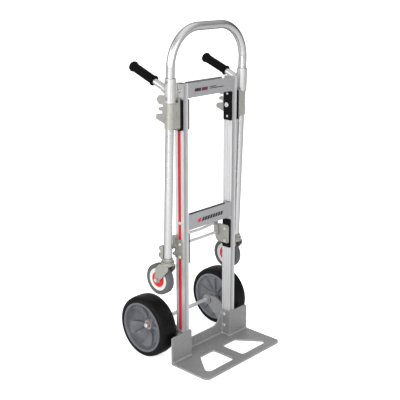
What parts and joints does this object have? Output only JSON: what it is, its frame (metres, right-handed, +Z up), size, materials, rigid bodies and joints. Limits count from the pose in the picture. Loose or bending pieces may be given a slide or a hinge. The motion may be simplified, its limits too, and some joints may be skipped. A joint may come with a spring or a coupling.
{
  "type": "convertible hand truck",
  "caption": "Convertible aluminium hand truck whose looped handle frame slides through saddles, swings square to the rails and brings its swivel casters to the floor.",
  "frame": {"origin": "on the floor, midway between the rails, in the plane of their front faces", "axes": "+X to the right seen from the front, -Y towards the load and the nose tip, +Z up along the rails"},
  "size_m": [0.5136, 0.4635, 1.334],
  "materials": {
    "rail_aluminium": "satin extrusion",
    "red_stripe": "smooth",
    "crossbar_aluminium": "brushed",
    "bright_steel": "bright zinc",
    "nose_casting": "as cast, matte",
    "bracket_casting": "as cast",
    "axle_steel": "bright drawn",
    "red_washer": "smooth",
    "black_plastic": "matte",
    "latch_casting": "die cast, tumbled",
    "tube_aluminium": "polished",
    "collar_casting": "bead blasted",
    "black_rubber": "textured",
    "dark_screw": "plain",
    "fork_zinc": "zinc plated",
    "caster_tyre": "smooth",
    "caster_core": "moulded",
    "caster_red": "moulded",
    "tyre": "moulded tread",
    "hub_plastic": "moulded"
  },
  "bodies": {
    "frame": {"left_rail": "rail_aluminium", "right_rail": "rail_aluminium", "rail_stripes": "red_stripe", "upper_crossbar": "crossbar_aluminium", "lower_crossbar": "crossbar_aluminium", "crossbar_bolts": "bright_steel", "nose_plate": "nose_casting", "nose_bolts": "bright_steel", "frame_nuts": "bright_steel", "left_axle_bracket": "bracket_casting", "right_axle_bracket": "bracket_casting", "bracket_screws": "bright_steel", "axle": "axle_steel", "axle_washers": "red_washer", "axle_caps": "bright_steel", "left_inner_plate": "black_plastic", "right_inner_plate": "black_plastic", "left_outer_plate": "black_plastic", "right_outer_plate": "black_plastic", "plate_screws": "bright_steel", "left_lower_plate": "black_plastic", "right_lower_plate": "black_plastic", "left_catch": "latch_casting", "right_catch": "latch_casting", "left_latch_housing": "latch_casting", "right_latch_housing": "latch_casting", "latch_bolts": "bright_steel"},
    "release": {"latch_shaft": "axle_steel", "latch_levers": "latch_casting", "release_bar": "axle_steel"},
    "saddles": {"left_saddle": "latch_casting", "right_saddle": "latch_casting", "pivot_bolts": "bright_steel"},
    "handle": {"handle_loop": "tube_aluminium", "left_collar": "collar_casting", "right_collar": "collar_casting", "left_grip_post": "tube_aluminium", "right_grip_post": "tube_aluminium", "left_grip": "black_rubber", "right_grip": "black_rubber", "collar_screws": "dark_screw", "left_tube_foot": "latch_casting", "right_tube_foot": "latch_casting", "kingpins": "bright_steel"},
    "left_swivel": {"left_caster_fork": "fork_zinc", "left_caster_bolt": "bright_steel"},
    "right_swivel": {"right_caster_fork": "fork_zinc", "right_caster_bolt": "bright_steel"},
    "left_caster": {"left_caster_tyre": "caster_tyre", "left_caster_core": "caster_core", "left_caster_caps": "caster_red"},
    "right_caster": {"right_caster_tyre": "caster_tyre", "right_caster_core": "caster_core", "right_caster_caps": "caster_red"},
    "left_wheel": {"left_tyre": "tyre", "left_hub": "hub_plastic", "left_bearings": "bright_steel"},
    "right_wheel": {"right_tyre": "tyre", "right_hub": "hub_plastic", "right_bearings": "bright_steel"}
  },
  "joints": [
    {"name": "handle_swing", "type": "hinge", "parent": "frame", "child": "saddles", "pos_m": [0, 0.024, 1.0017], "axis": [1, 0, 0], "range_deg": [0, 88]},
    {"name": "handle_slide", "type": "slide", "parent": "saddles", "child": "handle", "axis": [0, -0.0349, 0.9994], "range_m": [0, 0.47]},
    {"name": "left_caster_swivel", "type": "hinge", "parent": "handle", "child": "left_swivel", "pos_m": [-0.202, 0.041, 0.436], "axis": [0, -0.0349, 0.9994], "range_deg": [-40, 200]},
    {"name": "right_caster_swivel", "type": "hinge", "parent": "handle", "child": "right_swivel", "pos_m": [0.202, 0.041, 0.436], "axis": [0, -0.0349, 0.9994], "range_deg": [-200, 40]},
    {"name": "left_caster_roll", "type": "hinge", "parent": "left_swivel", "child": "left_caster", "pos_m": [-0.202, 0.08434, 0.34096], "axis": [1, 0, 0], "continuous": true},
    {"name": "right_caster_roll", "type": "hinge", "parent": "right_swivel", "child": "right_caster", "pos_m": [0.202, 0.08434, 0.34096], "axis": [1, 0, 0], "continuous": true},
    {"name": "left_wheel_roll", "type": "hinge", "parent": "frame", "child": "left_wheel", "pos_m": [-0.2155, 0.1435, 0.127], "axis": [1, 0, 0], "continuous": true},
    {"name": "right_wheel_roll", "type": "hinge", "parent": "frame", "child": "right_wheel", "pos_m": [0.2155, 0.1435, 0.127], "axis": [1, 0, 0], "continuous": true},
    {"name": "latch_release", "type": "hinge", "parent": "frame", "child": "release", "pos_m": [0, 0.067, 0.462], "axis": [-1, 0, 0], "range_deg": [0, 25], "stiffness_Nm_per_rad": 0.6}
  ]
}
